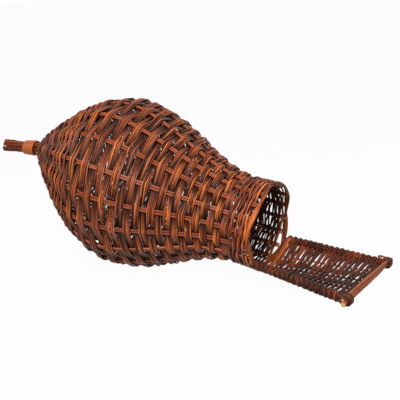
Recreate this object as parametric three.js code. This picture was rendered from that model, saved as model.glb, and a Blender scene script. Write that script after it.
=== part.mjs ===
// Bottle-shaped wicker nesting basket: a pear-shaped body woven on paired stakes, a bound tail of
// stake ends behind it, and a woven landing platform in front of the mouth.
// Millimetres, +Z up. The mouth faces +X and the basket lies on its belly. Inside the basket group,
// x runs from the tail root at 0 to the face of the mouth at BODY_LENGTH, along the mouth's axis.
// The group is pitched so that the basket rests on its belly and the free end of its platform.

import * as THREE from 'three';

// Body outline: where each radius of the stake surface stands, measured from the tail root.
const BODY_LENGTH = 541;
const TAIL_RADIUS = 14.5;
const SHOULDER_AT = 121;
const SHOULDER_RADIUS = 117;
const BELLY_AT = 225;
const BELLY_RADIUS = 160;
const WAIST_AT = 346;
const WAIST_RADIUS = 125;
const NECK_AT = 451;
const NECK_RADIUS = 83;
const MOUTH_RADIUS = 79;
const TAIL_RISE = 46;              // centre line at the tail above the centre of the mouth
const RISE_POWER = 1.3;            // how evenly the centre line climbs toward the tail

// Stakes, each a pair of rods side by side.
const STAKE_COUNT = 18;
const STAKE_PHASE = 15.1;          // degrees, direction of the first stake round the axis
const STAKE_WIDTH = 8;
const STAKE_THICKNESS = 3.6;
const STAKE_SHARE = 0.5;           // most of the spacing that a stake fills where they crowd

// Slewed rounds, each several rods wide.
const ROUND_COUNT = 30;
const ROUNDS_PER_SPAN = 2;         // rounds on each straight length of stake
const ROUND_THICKNESS = 3.6;
const ROUND_SPACE = 1.2;           // open space between neighbouring rounds
const ROUND_TAPER = 0.29;          // how much wider the rounds are at the tail than at the mouth
const WEAVE_START = 147;           // along the surface from the tail root to the first slewed round
const FINE_START = 45;             // the same, to the close weave behind it
const COLLAR_START = 10;           // the same, to the collar where the stakes fan out
const COLLAR_THICKNESS = 4;
const COLLAR_END_SPACE = 4;        // open space between the collar and the close weave
const STAKE_PASS = 1.2;            // flat length of a round past each edge of a stake

// Mouth border.
const BORDER_HALF_WIDTH = 7;
const BORDER_HALF_THICKNESS = 6;
const BORDER_SIDES = 10;

// Tail: the stake ends gathered, bent slightly down and bound.
const TAIL_LENGTH = 96;
const TAIL_DROP = 9;
const TAIL_SIDESTEP = 5;
const TAIL_ROOT = 4;               // length of the bundle inside the ring of stakes
const TAIL_LOBES = 9;
const TAIL_LOBE_DEPTH = 1;
const BINDING_LENGTH = 33;
const BINDING_THICKNESS = 2.2;
const BINDING_FROM_ROOT = 12;

// Landing platform.
const PLATFORM_LENGTH = 192;
const PLATFORM_HALF_ANGLE = 57;    // degrees from the bottom of the mouth to each side rod
const PLATFORM_END_HALF_WIDTH = 98;
const PLATFORM_END_DROP = 56;      // free end below the centre of the mouth
const PLATFORM_RODS = 5;           // the two side rods and the ones between them
const SIDE_ROD_OUTSET = 8;         // side rods start this far outside the mouth circle
const SIDE_ROD_RADIUS = 5.5;
const INNER_ROD_RADIUS = 3;
const END_BAR_RADIUS = 6;
const END_BAR_OVERHANG = 20;       // end bar past the middles of the side rods
const PLATFORM_PASSES = 16;        // times the weaver crosses the platform
const WEAVER_THICKNESS = 2.6;
const WEAVER_SPACE = 1.2;          // open space between neighbouring passes

const FIT = 0.35;                  // clearance between pieces that touch on the real basket

// ---- Small geometry helpers ----

const material = (color, roughness) => new THREE.MeshStandardMaterial({ color, roughness, metalness: 0 });
const WEAVE = material(0x6e3c28, 0.6);
const STAKE = material(0x5f3220, 0.62);
const BORDER = material(0xa0592c, 0.52);
const BINDING = material(0xbe6a30, 0.48);
const BUNDLE = material(0x4e2a1c, 0.68);
const PEELED = material(0x9a5c34, 0.55);

const lerp = THREE.MathUtils.lerp;
const radians = THREE.MathUtils.degToRad;

const basket = new THREE.Group();

function addPiece(name, geometry, finish) {
  const piece = new THREE.Mesh(geometry, finish);
  piece.name = name;
  basket.add(piece);
}

function signedVolume(points, faces) {
  return faces.reduce((sum, [a, b, c]) => {
    const cross = new THREE.Vector3().crossVectors(points[b], points[c]);
    return sum + points[a].dot(cross) / 6;
  }, 0);
}

// A closed body through rings of corner points. A looped one joins its last ring to its first, and
// an open one gets a cap at each end.
function sweep(rings, looped) {
  const sides = rings[0].length;
  const points = rings.flat();
  const faces = [];
  const steps = looped ? rings.length : rings.length - 1;
  for (let i = 0; i < steps; i += 1) {
    const here = i * sides;
    const there = ((i + 1) % rings.length) * sides;
    for (let j = 0; j < sides; j += 1) {
      const next = (j + 1) % sides;
      faces.push([here + j, here + next, there + next], [here + j, there + next, there + j]);
    }
  }
  if (!looped) {
    addCap(points, faces, rings[0], 0, true);
    addCap(points, faces, rings[rings.length - 1], (rings.length - 1) * sides, false);
  }
  const inward = signedVolume(points, faces) < 0;
  const geometry = new THREE.BufferGeometry().setFromPoints(points);
  geometry.setIndex(faces.flatMap(([a, b, c]) => (inward ? [a, c, b] : [a, b, c])));
  geometry.computeVertexNormals();
  return geometry;
}

function addCap(points, faces, ring, first, atStart) {
  const middle = points.length;
  const centre = new THREE.Vector3();
  ring.forEach((corner) => centre.addScaledVector(corner, 1 / ring.length));
  points.push(centre);
  ring.forEach((_, j) => {
    const here = first + j;
    const next = first + ((j + 1) % ring.length);
    faces.push(atStart ? [middle, next, here] : [middle, here, next]);
  });
}

// ---- Body surface ----

// Natural cubic spline through the outline's stations.
function naturalSpline(stations) {
  const [xs, ys] = [stations.map((s) => s[0]), stations.map((s) => s[1])];
  const last = xs.length - 1;
  const bend = new Array(last + 1).fill(0);
  const share = new Array(last + 1).fill(0);
  for (let i = 1; i < last; i += 1) {
    const [before, after] = [xs[i] - xs[i - 1], xs[i + 1] - xs[i]];
    const turn = (ys[i + 1] - ys[i]) / after - (ys[i] - ys[i - 1]) / before;
    const pivot = 2 * (before + after) - before * share[i - 1];
    share[i] = after / pivot;
    bend[i] = (6 * turn - before * bend[i - 1]) / pivot;
  }
  for (let i = last - 1; i > 0; i -= 1) bend[i] -= share[i] * bend[i + 1];
  return (x) => {
    let i = 0;
    while (i < last - 1 && x > xs[i + 1]) i += 1;
    const width = xs[i + 1] - xs[i];
    const [a, b] = [(xs[i + 1] - x) / width, (x - xs[i]) / width];
    const curve = ((a ** 3 - a) * bend[i] + (b ** 3 - b) * bend[i + 1]) * width ** 2 / 6;
    return a * ys[i] + b * ys[i + 1] + curve;
  };
}

const bodyRadius = naturalSpline([
  [0, TAIL_RADIUS],
  [SHOULDER_AT, SHOULDER_RADIUS],
  [BELLY_AT, BELLY_RADIUS],
  [WAIST_AT, WAIST_RADIUS],
  [NECK_AT, NECK_RADIUS],
  [BODY_LENGTH, MOUTH_RADIUS],
]);

const centreRise = (x) => TAIL_RISE * (Math.max(BODY_LENGTH - x, 0) / BODY_LENGTH) ** RISE_POWER;

// Length along the outline from the tail root, and back from that length to x.
const ARC_STEPS = 1000;
const arcAt = [0];
for (let i = 1; i <= ARC_STEPS; i += 1) {
  const [x0, x1] = [(i - 1) * BODY_LENGTH / ARC_STEPS, i * BODY_LENGTH / ARC_STEPS];
  arcAt.push(arcAt[i - 1] + Math.hypot(x1 - x0, bodyRadius(x1) - bodyRadius(x0)));
}

function xAtArc(arc) {
  let i = 1;
  while (i < ARC_STEPS && arcAt[i] < arc) i += 1;
  const part = (arc - arcAt[i - 1]) / (arcAt[i] - arcAt[i - 1]);
  return (i - 1 + part) * BODY_LENGTH / ARC_STEPS;
}

const station = (x) => ({ x, radius: bodyRadius(x), rise: centreRise(x) });
const between = (a, b, part) => ({
  x: lerp(a.x, b.x, part),
  radius: lerp(a.radius, b.radius, part),
  rise: lerp(a.rise, b.rise, part),
});

// The outline as straight lengths of stake. Each length carries whole rounds, so that stakes and
// rounds stay parallel and their clearance is the same everywhere.
const stakeEnd = BODY_LENGTH - 2 * BORDER_HALF_WIDTH - FIT;
const slewedLength = arcAt[ARC_STEPS] - 2 * BORDER_HALF_WIDTH - FIT - WEAVE_START;
const roundShare = (k) => (1 + ROUND_TAPER * (0.5 - (k + 0.5) / ROUND_COUNT)) / ROUND_COUNT;
const roundEdges = [WEAVE_START];
for (let k = 0; k < ROUND_COUNT; k += 1) {
  roundEdges.push(roundEdges[k] + slewedLength * roundShare(k));
}
const spanEdges = roundEdges.filter((_, k) => k > 0 && k < ROUND_COUNT && k % ROUNDS_PER_SPAN === 0);
const fineMiddle = (FINE_START + WEAVE_START) / 2;
const stations = [
  station(0),
  ...[FINE_START, fineMiddle, WEAVE_START, ...spanEdges].map((arc) => station(xAtArc(arc))),
  station(stakeEnd),
];
const FIRST_SLEWED_SPAN = 3;

const spanLength = (a, b) => Math.hypot(b.x - a.x, b.radius - a.radius);

// Unit direction square to the outline between two stations, in x and radius.
function spanNormal(a, b) {
  const length = spanLength(a, b);
  return { x: (a.radius - b.radius) / length, radius: (b.x - a.x) / length };
}

// The same at a station where two lengths meet, lengthened so that an offset keeps its distance.
function mitreNormal(i) {
  if (i === 0 || i === stations.length - 1) return { x: 0, radius: 1 };
  const before = spanNormal(stations[i - 1], stations[i]);
  const after = spanNormal(stations[i], stations[i + 1]);
  const scale = 1 / (1 + before.x * after.x + before.radius * after.radius);
  return { x: (before.x + after.x) * scale, radius: (before.radius + after.radius) * scale };
}

// A point off the body surface: `out` along the normal, then `aside` square to the stake.
function bodyPoint(place, normal, angle, out, aside) {
  const radius = place.radius + normal.radius * out;
  const across = new THREE.Vector3(0, -Math.sin(angle), Math.cos(angle));
  return new THREE.Vector3(
    place.x + normal.x * out,
    radius * Math.cos(angle),
    place.rise + radius * Math.sin(angle),
  ).addScaledVector(across, aside);
}

const stakeAngle = (i) => radians(STAKE_PHASE + i * 360 / STAKE_COUNT);
const stakeWidth = (radius) => Math.min(STAKE_WIDTH, STAKE_SHARE * 2 * Math.PI * radius / STAKE_COUNT);

// ---- Stakes ----

function stakeGeometry(angle) {
  const [half, out] = [0.5, STAKE_THICKNESS / 2];
  const rings = stations.map((place, i) => {
    const normal = mitreNormal(i);
    const aside = stakeWidth(place.radius) * half;
    return [[out, aside], [out, -aside], [-out, -aside], [-out, aside]]
      .map(([o, a]) => bodyPoint(place, normal, angle, o, a));
  });
  return sweep(rings, false);
}

for (let i = 0; i < STAKE_COUNT; i += 1) {
  const number = String(i + 1).padStart(2, '0');
  addPiece(`stake_pair_${number}`, stakeGeometry(stakeAngle(i)), STAKE);
}

// ---- Woven rounds ----

// A band woven through the stakes. `edge` lists its places along the outline with their normals,
// from its tail side to its mouth side, and `sideOf` says which side of each stake it passes.
function bandGeometry(edge, thickness, sideOf) {
  const offset = STAKE_THICKNESS / 2 + thickness / 2 + FIT;
  const rings = [];
  for (let i = 0; i < STAKE_COUNT; i += 1) {
    const side = sideOf(i) * offset;
    [-1, 1].forEach((end) => {
      const corner = ({ place, normal }, out) => {
        const aside = end * (stakeWidth(place.radius) / 2 + STAKE_PASS);
        return bodyPoint(place, normal, stakeAngle(i), side + out, aside);
      };
      const outer = edge.map((e) => corner(e, thickness / 2));
      const inner = edge.map((e) => corner(e, -thickness / 2)).reverse();
      rings.push([...outer, ...inner]);
    });
  }
  return sweep(rings, true);
}

const outsideThenInside = (parity) => (i) => ((i + parity) % 2 === 0 ? 1 : -1);

// Both edges of a band on the straight length from `from` to `to`, at distances along it.
function bandEdge(from, to, start, end) {
  const normal = spanNormal(from, to);
  const length = spanLength(from, to);
  return [start, end].map((distance) => ({ place: between(from, to, distance / length), normal }));
}

for (let k = 0; k < ROUND_COUNT; k += 1) {
  const span = FIRST_SLEWED_SPAN + Math.floor(k / ROUNDS_PER_SPAN);
  const [from, to] = [stations[span], stations[span + 1]];
  const pitch = spanLength(from, to) / ROUNDS_PER_SPAN;
  const start = (k % ROUNDS_PER_SPAN) * pitch;
  const edge = bandEdge(from, to, start + ROUND_SPACE / 2, start + pitch - ROUND_SPACE / 2);
  const number = String(k + 1).padStart(2, '0');
  addPiece(`weave_round_${number}`, bandGeometry(edge, ROUND_THICKNESS, outsideThenInside(k % 2)), WEAVE);
}

// The close weave of fine rods between the collar and the first slewed round.
const [fineFrom, fineBend, fineTo] = stations.slice(1, FIRST_SLEWED_SPAN + 1);
const closeWeaveEdge = [
  bandEdge(fineFrom, fineBend, ROUND_SPACE / 2, 0)[0],
  { place: fineBend, normal: mitreNormal(2) },
  bandEdge(fineBend, fineTo, 0, spanLength(fineBend, fineTo) - ROUND_SPACE / 2)[1],
];
addPiece('tail_close_weave', bandGeometry(closeWeaveEdge, ROUND_THICKNESS, outsideThenInside(1)), WEAVE);

// The collar of close rods round the outside of the stakes, where they fan out from the tail.
const fanLength = spanLength(stations[0], stations[1]);
const collarEdge = bandEdge(stations[0], stations[1], COLLAR_START, fanLength - COLLAR_END_SPACE);
addPiece('tail_collar', bandGeometry(collarEdge, COLLAR_THICKNESS, () => 1), WEAVE);

// ---- Mouth border ----

// A ten-sided rolled rim round the mouth, on the ends of the stakes.
function borderGeometry() {
  const reach = 1 / Math.cos(Math.PI / BORDER_SIDES);
  const outline = Array.from({ length: BORDER_SIDES + 1 }, (_, i) => {
    const turn = 2 * Math.PI * (i + 0.5) / BORDER_SIDES;
    return new THREE.Vector2(
      MOUTH_RADIUS - BORDER_HALF_THICKNESS * Math.sin(turn),
      BORDER_HALF_WIDTH * reach * Math.cos(turn),
    );
  });
  return new THREE.LatheGeometry(outline, STAKE_COUNT * 2)
    .rotateZ(-Math.PI / 2)
    .translate(BODY_LENGTH - BORDER_HALF_WIDTH, 0, 0);
}
addPiece('mouth_border', borderGeometry(), BORDER);

// ---- Tail ----

const bundleRadius = TAIL_RADIUS - STAKE_THICKNESS / 2 - FIT;
const tailEnd = new THREE.Vector3(-TAIL_LENGTH, -TAIL_SIDESTEP, TAIL_RISE - TAIL_DROP);
const tailBend = new THREE.Vector3(0, 0, TAIL_RISE);
const tailRoot = new THREE.Vector3(TAIL_ROOT, 0, TAIL_RISE);
const tailDirection = tailEnd.clone().sub(tailBend).normalize();

// Corners of a cross-section square to `direction`, where `radiusAt` gives the radius at each turn.
function section(centre, direction, sides, radiusAt) {
  const up = new THREE.Vector3(0, 0, 1).addScaledVector(direction, -direction.z).normalize();
  const across = new THREE.Vector3().crossVectors(direction, up);
  return Array.from({ length: sides }, (_, i) => {
    const turn = 2 * Math.PI * i / sides;
    const radius = radiusAt(turn);
    return centre.clone()
      .addScaledVector(across, radius * Math.cos(turn))
      .addScaledVector(up, radius * Math.sin(turn));
  });
}

const SIDES_PER_LOBE = 4;
const lobedRadius = (turn) => {
  const dip = (1 - Math.cos(turn * TAIL_LOBES)) / 2;
  return bundleRadius - TAIL_LOBE_DEPTH * dip;
};
const squareToAxis = new THREE.Vector3(-1, 0, 0);
const bundleRings = [
  section(tailRoot, squareToAxis, TAIL_LOBES * SIDES_PER_LOBE, lobedRadius),
  section(tailBend, tailDirection, TAIL_LOBES * SIDES_PER_LOBE, lobedRadius),
  section(tailEnd, squareToAxis, TAIL_LOBES * SIDES_PER_LOBE, lobedRadius),
];
addPiece('tail_bundle', sweep(bundleRings, false), BUNDLE);

// Split-willow binding wound round the bundle.
const BINDING_SIDES = 24;
function bindingGeometry() {
  const inner = (bundleRadius + FIT) / Math.cos(Math.PI / BINDING_SIDES);
  const [low, high] = [BINDING_FROM_ROOT, BINDING_FROM_ROOT + BINDING_LENGTH];
  const ring = (distance, radius) => {
    const centre = tailBend.clone().addScaledVector(tailDirection, distance);
    return section(centre, tailDirection, BINDING_SIDES, () => radius);
  };
  const loops = [
    ring(low, inner),
    ring(high, inner),
    ring(high, inner + BINDING_THICKNESS),
    ring(low, inner + BINDING_THICKNESS),
  ];
  const rings = loops[0].map((_, i) => loops.map((loop) => loop[i]));
  return sweep(rings, true);
}
addPiece('tail_binding', bindingGeometry(), BINDING);

// ---- Landing platform ----

const barAt = BODY_LENGTH + PLATFORM_LENGTH;
const platformStart = BODY_LENGTH + FIT;

// Where each platform rod leaves the mouth's lower edge, and where it meets the free end.
function platformRod(i) {
  const share = 2 * i / (PLATFORM_RODS - 1) - 1;
  const angle = radians(share * PLATFORM_HALF_ANGLE);
  const outset = Math.abs(share) === 1 ? SIDE_ROD_OUTSET : 0;
  const reach = MOUTH_RADIUS + outset;
  return {
    root: new THREE.Vector3(BODY_LENGTH, reach * Math.sin(angle), -reach * Math.cos(angle)),
    tip: new THREE.Vector3(barAt, share * PLATFORM_END_HALF_WIDTH, -PLATFORM_END_DROP),
  };
}
const rods = Array.from({ length: PLATFORM_RODS }, (_, i) => platformRod(i));
const isSide = (i) => i === 0 || i === PLATFORM_RODS - 1;
const rodRadius = (i) => (isSide(i) ? SIDE_ROD_RADIUS : INNER_ROD_RADIUS);

function rodPoint(i, x) {
  const { root, tip } = rods[i];
  return root.clone().lerp(tip, (x - BODY_LENGTH) / PLATFORM_LENGTH);
}

// A round rod whose two ends are cut square to the given directions.
const ROD_SIDES = 8;
function rodGeometry(from, fromCut, to, toCut, radius) {
  const ends = [section(from, fromCut, ROD_SIDES, () => radius), section(to, toCut, ROD_SIDES, () => radius)];
  return sweep(ends, false);
}

const alongAxis = new THREE.Vector3(1, 0, 0);
const rodEnd = barAt - END_BAR_RADIUS - FIT;
const sideNames = { 0: 'platform_side_rod_near', [PLATFORM_RODS - 1]: 'platform_side_rod_far' };
rods.forEach((_, i) => {
  const [from, to] = [rodPoint(i, platformStart), rodPoint(i, rodEnd)];
  const name = sideNames[i] ?? `platform_inner_rod_${i}`;
  addPiece(name, rodGeometry(from, alongAxis, to, alongAxis, rodRadius(i)), STAKE);
});

// The end bar lies across the ends of the rods and stands past the side ones.
const barHalf = PLATFORM_END_HALF_WIDTH + END_BAR_OVERHANG;
const [barFrom, barTo] = [-barHalf, barHalf].map((y) => new THREE.Vector3(barAt, y, -PLATFORM_END_DROP));
const alongBar = new THREE.Vector3(0, 1, 0);
addPiece('platform_end_bar', rodGeometry(barFrom, alongBar, barTo, alongBar, END_BAR_RADIUS), PEELED);

// Directions across and square to the platform at a rod.
function platformFrame(i, x) {
  const before = rodPoint(Math.max(i - 1, 0), x);
  const after = rodPoint(Math.min(i + 1, PLATFORM_RODS - 1), x);
  const across = after.sub(before).normalize();
  return { centre: rodPoint(i, x), across, up: new THREE.Vector3(0, -across.z, across.y) };
}

// One weaver that crosses the platform over one rod and under the next, and goes round the outside
// of each side rod before it comes back.
const weaveFrom = platformStart + WEAVER_SPACE;
const weaveTo = rodEnd - WEAVER_SPACE;
const passPitch = (weaveTo - weaveFrom) / PLATFORM_PASSES;
const passAt = (k) => weaveFrom + passPitch * (k + 0.5);

// One ring of the weaver beside rod i: `turn` is the direction from the rod, 0 across and 90 up,
// `aside` moves it along the platform's width, and `facing` is 1 where the strip's outer face looks
// away from the rod and -1 where it looks at it.
function weaverRing(i, x, turn, aside, facing) {
  const clear = (rodRadius(i) + FIT + WEAVER_THICKNESS / 2) / Math.cos(Math.PI / 8);
  const half = (passPitch - WEAVER_SPACE) / 2;
  const corner = (end, out) => {
    const { centre, across, up } = platformFrame(i, x + end * half);
    return centre
      .addScaledVector(across, (clear + out) * Math.cos(radians(turn)) + aside)
      .addScaledVector(up, (clear + out) * Math.sin(radians(turn)));
  };
  const t = facing * WEAVER_THICKNESS / 2;
  return [corner(-1, -t), corner(1, -t), corner(1, t), corner(-1, t)];
}

function weaverGeometry() {
  const rings = [];
  for (let k = 0; k < PLATFORM_PASSES; k += 1) {
    const heading = k % 2 === 0 ? 1 : -1;
    for (let step = 0; step < PLATFORM_RODS; step += 1) {
      const i = heading === 1 ? step : PLATFORM_RODS - 1 - step;
      const above = (i + k) % 2 === 0 ? 1 : -1;
      const flat = isSide(i) ? [step === 0 ? 1 : -1] : [-1, 1];
      flat.forEach((end) => {
        const aside = end * heading * (rodRadius(i) + STAKE_PASS) * 0.8;
        rings.push(weaverRing(i, passAt(k), above * 90, aside, above * heading));
      });
    }
    if (k < PLATFORM_PASSES - 1) {
      const i = heading === 1 ? PLATFORM_RODS - 1 : 0;
      const first = heading === 1 ? 90 : -90;
      for (let part = 0; part <= 4; part += 1) {
        const lift = first * (1 - part / 2);
        const turn = heading === 1 ? lift : 180 - lift;
        rings.push(weaverRing(i, passAt(k) + passPitch * part / 4, turn, 0, 1));
      }
    }
  }
  return sweep(rings, false);
}
addPiece('platform_weaver', weaverGeometry(), WEAVE);

// ---- Placing ----

// Every corner of the pieces, to find what touches the ground.
const corners = basket.children.flatMap((piece) => {
  const positions = piece.geometry.getAttribute('position');
  return Array.from({ length: positions.count }, (_, i) => new THREE.Vector3().fromBufferAttribute(positions, i));
});

// Pitch, mouth end low, at which the lowest corners of the body and of the platform are level.
function restPitch() {
  const body = corners.filter((corner) => corner.x < BODY_LENGTH);
  const platform = corners.filter((corner) => corner.x > BODY_LENGTH);
  const lowest = (set, pitch) => {
    const height = (corner) => corner.z * Math.cos(pitch) - corner.x * Math.sin(pitch);
    return set.reduce((low, corner) => (height(corner) < height(low) ? corner : low));
  };
  let pitch = 0;
  for (let round = 0; round < 10; round += 1) {
    const [back, front] = [lowest(body, pitch), lowest(platform, pitch)];
    pitch = Math.atan2(front.z - back.z, front.x - back.x);
  }
  return pitch;
}

// At rest, over the middle of the ground that it covers, with its lowest point at 0.
basket.rotation.y = restPitch();
const group = new THREE.Group();
group.add(basket);
group.updateMatrixWorld(true);
const box = new THREE.Box3().setFromObject(group, true);
const middle = box.getCenter(new THREE.Vector3());
basket.position.set(-middle.x, -middle.y, -box.min.z);

export default group;
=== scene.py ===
"""Wicker nesting basket: the looks of every rod, built round the packed frame."""

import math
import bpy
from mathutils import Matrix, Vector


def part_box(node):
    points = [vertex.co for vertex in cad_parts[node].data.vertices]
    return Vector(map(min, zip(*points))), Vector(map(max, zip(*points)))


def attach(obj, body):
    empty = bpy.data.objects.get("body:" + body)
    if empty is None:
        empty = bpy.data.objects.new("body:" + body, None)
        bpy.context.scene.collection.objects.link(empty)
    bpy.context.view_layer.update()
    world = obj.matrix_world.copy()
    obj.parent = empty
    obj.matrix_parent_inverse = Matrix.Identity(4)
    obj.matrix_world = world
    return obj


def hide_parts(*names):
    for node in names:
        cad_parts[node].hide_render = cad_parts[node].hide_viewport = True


bl_info = {
    "name": "Wicker Nesting Basket",
    "version": (1, 0, 0),
    "blender": (4, 5, 0),
    "location": "3D View > Sidebar > Nesting Basket",
    "description": "Builds a bottle-shaped willow nesting basket rod by rod",
    "category": "Add Mesh",
}

from dataclasses import dataclass

import bmesh
import bpy
import numpy as np
from mathutils import Matrix, Vector

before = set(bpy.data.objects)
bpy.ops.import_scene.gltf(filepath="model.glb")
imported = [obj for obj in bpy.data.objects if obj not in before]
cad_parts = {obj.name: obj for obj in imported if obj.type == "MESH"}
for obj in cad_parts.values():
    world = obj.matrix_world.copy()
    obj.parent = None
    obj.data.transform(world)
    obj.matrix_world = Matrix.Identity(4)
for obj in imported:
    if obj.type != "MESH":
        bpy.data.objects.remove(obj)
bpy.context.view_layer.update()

TURN = 2 * math.pi


# ---------------------------------------------------------------- settings


def length(name, description, default):
    return bpy.props.FloatProperty(
        name=name, description=description, default=default, unit="LENGTH", precision=4
    )


def angle(name, description, degrees):
    return bpy.props.FloatProperty(
        name=name, description=description, default=math.radians(degrees), subtype="ANGLE"
    )


def colour(name, description, default):
    return bpy.props.FloatVectorProperty(
        name=name, description=description, default=default, subtype="COLOR", min=0, max=1
    )


def count(name, description, default):
    return bpy.props.IntProperty(name=name, description=description, default=default, min=1)


def ratio(name, description, default):
    return bpy.props.FloatProperty(name=name, description=description, default=default)


class NestBodySettings(bpy.types.PropertyGroup):
    """Outline of the body, measured along the mouth's axis from the tail root."""

    length: length("Length", "Tail root to the face of the mouth", 0.541)
    tail_radius: length("Tail radius", "Stake circle at the tail root", 0.0145)
    shoulder_at: length("Shoulder at", "Place of the shoulder", 0.121)
    shoulder_radius: length("Shoulder radius", "Radius at the shoulder", 0.117)
    belly_at: length("Belly at", "Place of the widest part", 0.225)
    belly_radius: length("Belly radius", "Radius at the widest part", 0.160)
    waist_at: length("Waist at", "Place of the waist", 0.346)
    waist_radius: length("Waist radius", "Radius at the waist", 0.125)
    neck_at: length("Neck at", "Place of the neck", 0.451)
    neck_radius: length("Neck radius", "Radius at the neck", 0.083)
    mouth_radius: length("Mouth radius", "Radius at the mouth", 0.079)
    tail_rise: length("Tail rise", "Centre line at the tail above the mouth's centre", 0.046)
    rise_power: ratio("Rise power", "How evenly the centre line climbs to the tail", 1.3)
    border_width: length("Border width", "Rolled border along the axis", 0.014)


class NestStakeSettings(bpy.types.PropertyGroup):
    """The paired stakes that run from tail to mouth."""

    pairs: count("Pairs", "Stake pairs round the body", 18)
    phase: angle("Phase", "Direction of the first pair round the axis", 15.1)
    radius: length("Radius", "Radius of one stake rod", 0.0022)
    crowding: ratio("Crowding", "Most of their spacing that the stakes fill at the tail", 0.9)


class NestWeaveSettings(bpy.types.PropertyGroup):
    """The slewed rounds and the close weave behind them."""

    rounds: count("Rounds", "Slewed rounds between tail and mouth", 30)
    start: length("Start", "Surface length from the tail root to the first round", 0.147)
    taper: ratio("Taper", "How much wider rounds are at the tail than at the mouth", 0.29)
    rod_pitch: length("Rod pitch", "Room that one rod takes in a round", 0.0028)
    rod_radius: length("Rod radius", "Radius of a weaving rod", 0.00155)
    offset: length("Offset", "How far a rod stands off the stake surface as it passes a stake", 0.0038)
    sway: length("Sway", "How far a whole round strays sideways at a stake", 0.0010)
    stray: length("Stray", "How far a rod strays sideways at a stake", 0.0004)
    loose: ratio("Loose", "How much thinner and closer the rods are on the open side of the neck", 0.10)
    split: count("Split", "First rounds that are split in two, where the stakes lie close", 4)
    wale: count("Wale", "Last rounds whose rods pass outside two stakes and inside one", 3)
    fine_rounds: count("Fine rounds", "Rounds of fine rods at the tail", 13)
    fine_start: length("Fine start", "Surface length from the tail root to the fine rods", 0.006)


class NestTailSettings(bpy.types.PropertyGroup):
    """The bound bundle of rod ends."""

    length: length("Length", "Bundle behind the tail root", 0.101)
    drop: length("Drop", "How far its end drops", 0.009)
    sidestep: length("Sidestep", "How far its end turns aside", 0.005)
    rods: count("Rods", "Rod ends round the middle ones", 9)
    rod_radius: length("Rod radius", "Radius of a rod end", 0.0031)
    bundle_radius: length("Bundle radius", "Outside of the bundle", 0.0128)
    binding_from: length("Binding from", "Distance of the binding from the root", 0.012)
    binding_length: length("Binding length", "Length of the binding", 0.033)
    binding_turns: count("Binding turns", "Turns of the binding strip", 4)
    binding_flare: length("Binding flare", "How much wider the binding is towards the body", 0.0022)


class NestPlatformSettings(bpy.types.PropertyGroup):
    """The woven landing platform."""

    length: length("Length", "Mouth to the end bar", 0.192)
    half_angle: angle("Half angle", "Bottom of the mouth to a side rod", 57)
    end_half_width: length("End half width", "Half the width at the free end", 0.098)
    end_drop: length("End drop", "Free end below the mouth's centre", 0.056)
    rods: count("Rods", "Side rods and the rods between them", 5)
    side_outset: length("Side outset", "Side rods outside the mouth circle", 0.008)
    side_radius: length("Side radius", "Radius of a side rod", 0.0042)
    inner_radius: length("Inner radius", "Radius of the rods between", 0.0024)
    passes: count("Passes", "Times the weavers cross", 36)
    passes_per_weaver: count("Passes per weaver", "Crossings that one rod makes", 3)
    weaver_radius: length("Weaver radius", "Radius of a weaver", 0.0028)
    wrap_radius: length("Wrap radius", "Radius of the rod wound round a side rod", 0.0022)
    wrap_pitch: length("Wrap pitch", "Advance of one turn round a side rod", 0.0052)
    bar_radius: length("Bar radius", "Radius of the end bar", 0.006)
    bar_overhang: length("Bar overhang", "End bar past the side rods", 0.020)


class NestFinishSettings(bpy.types.PropertyGroup):
    """Colours of the stained willow."""

    dark: colour("Dark", "Darkest rods", (0.034, 0.008, 0.003))
    brown: colour("Brown", "Deep brown rods", (0.108, 0.021, 0.007))
    red: colour("Red", "Most rods", (0.270, 0.052, 0.014))
    rose: colour("Rose", "Greyish pink rods", (0.400, 0.130, 0.070))
    russet: colour("Russet", "Light reddish rods", (0.480, 0.110, 0.028))
    orange: colour("Orange", "Brightest rods", (0.700, 0.190, 0.030))
    tan: colour("Tan", "Peeled and worn rods", (0.400, 0.140, 0.042))
    binding: colour("Binding", "Strip round the tail", (0.350, 0.088, 0.020))
    cut: colour("Cut", "Cut rod ends", (0.430, 0.250, 0.120))


class NestStageSettings(bpy.types.PropertyGroup):
    """Camera, floor and lamps."""

    azimuth: angle("Azimuth", "Camera round the object", 31.5)
    elevation: angle("Elevation", "Camera above the horizon", 14.09)
    roll: angle("Roll", "Camera turned about its view", -5.13)
    distance: length("Distance", "Camera to target", 1.7506)
    lens: bpy.props.FloatProperty(name="Lens", description="Focal length in millimetres", default=81)
    target: bpy.props.FloatVectorProperty(
        name="Target", description="Point that the camera looks at", default=(0.0539, 0.0244, 0.1313),
        subtype="XYZ", unit="LENGTH",
    )


SETTINGS = {
    "nest_body": NestBodySettings,
    "nest_stakes": NestStakeSettings,
    "nest_weave": NestWeaveSettings,
    "nest_tail": NestTailSettings,
    "nest_platform": NestPlatformSettings,
    "nest_finish": NestFinishSettings,
    "nest_stage": NestStageSettings,
}


# ---------------------------------------------------------------- body surface


def natural_spline(xs, ys):
    """Natural cubic spline through the stations, as a function of arrays."""
    xs, ys = np.array(xs), np.array(ys)
    gaps, slopes = np.diff(xs), np.diff(ys) / np.diff(xs)
    system = np.eye(len(xs))
    right = np.zeros(len(xs))
    for i in range(1, len(xs) - 1):
        system[i, i - 1:i + 2] = gaps[i - 1], 2 * (gaps[i - 1] + gaps[i]), gaps[i]
        right[i] = 6 * (slopes[i] - slopes[i - 1])
    bends = np.linalg.solve(system, right)

    def value(x):
        i = np.clip(np.searchsorted(xs, x) - 1, 0, len(gaps) - 1)
        b = (x - xs[i]) / gaps[i]
        a = 1 - b
        curve = ((a**3 - a) * bends[i] + (b**3 - b) * bends[i + 1]) * gaps[i] ** 2 / 6
        return a * ys[i] + b * ys[i + 1] + curve

    return value


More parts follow.
